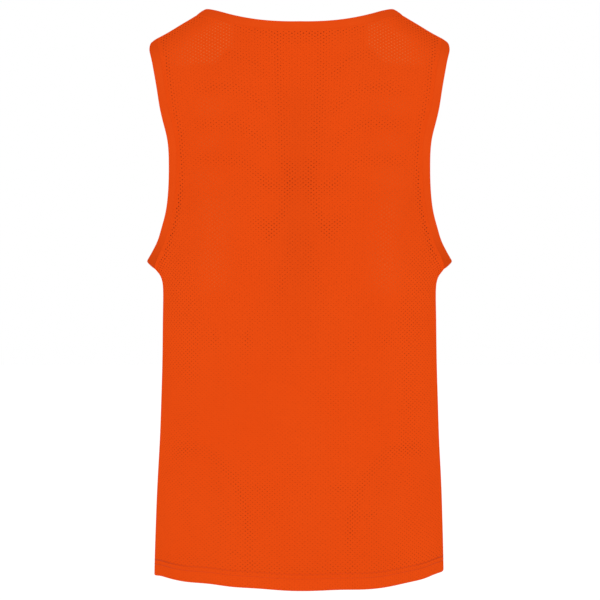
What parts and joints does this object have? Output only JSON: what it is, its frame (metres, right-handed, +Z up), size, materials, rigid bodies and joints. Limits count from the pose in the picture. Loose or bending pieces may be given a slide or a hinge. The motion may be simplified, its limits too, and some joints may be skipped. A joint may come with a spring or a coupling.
{
  "type": "training bib",
  "caption": "Sleeveless mesh training bib in plain orange, hollow as worn, with bound neck and armholes and a turned-up hem.",
  "frame": {"origin": "midway between the two shoulder straps, at the height of their undersides, where a wearer's shoulders hold it", "axes": "+Z up; the back of the bib faces -Y and its front +Y; +X is the wearer's right"},
  "size_m": [0.3696, 0.2647, 0.6879],
  "materials": {
    "back_panel": "matte eyelet mesh knit",
    "front_panel": "matte eyelet mesh knit",
    "neck_binding": "matte folded knit",
    "armhole_binding_left": "matte folded knit",
    "armhole_binding_right": "matte folded knit"
  },
  "bodies": {
    "root": {"back_panel": "back_panel", "front_panel": "front_panel", "neck_binding": "neck_binding", "armhole_binding_left": "armhole_binding_left", "armhole_binding_right": "armhole_binding_right"}
  },
  "joints": []
}
